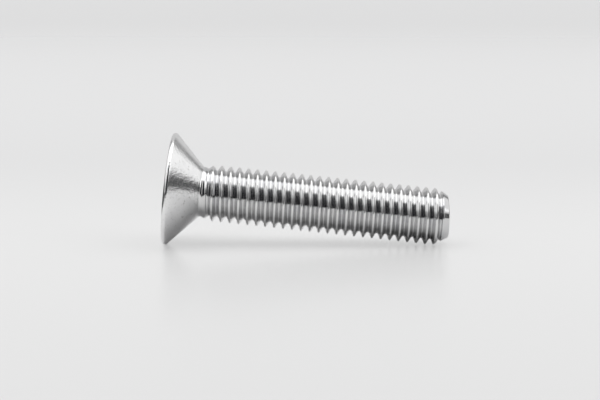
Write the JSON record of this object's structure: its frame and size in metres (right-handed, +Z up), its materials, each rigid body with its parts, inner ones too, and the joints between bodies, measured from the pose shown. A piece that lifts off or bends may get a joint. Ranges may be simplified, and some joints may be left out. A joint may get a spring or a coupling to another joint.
{
  "type": "bolt",
  "caption": "Countersunk machine bolt in bright plated steel, threaded to its head, with a hexagon socket, lying on its side",
  "frame": {"origin": "the middle of the bounding box in X and Y, on the surface that the lying bolt rests on", "axes": "+X along the bolt from the head to the tip, level, while the bolt's own axis dips towards the tip by 6.0 degrees; +Y across the bolt; +Z up"},
  "size_m": [0.04, 0.0156, 0.0157],
  "materials": {
    "plated_steel": "bright zinc plate, clear, with fine marks of forming"
  },
  "bodies": {
    "root": {"countersunk_bolt": "plated_steel"}
  },
  "joints": []
}
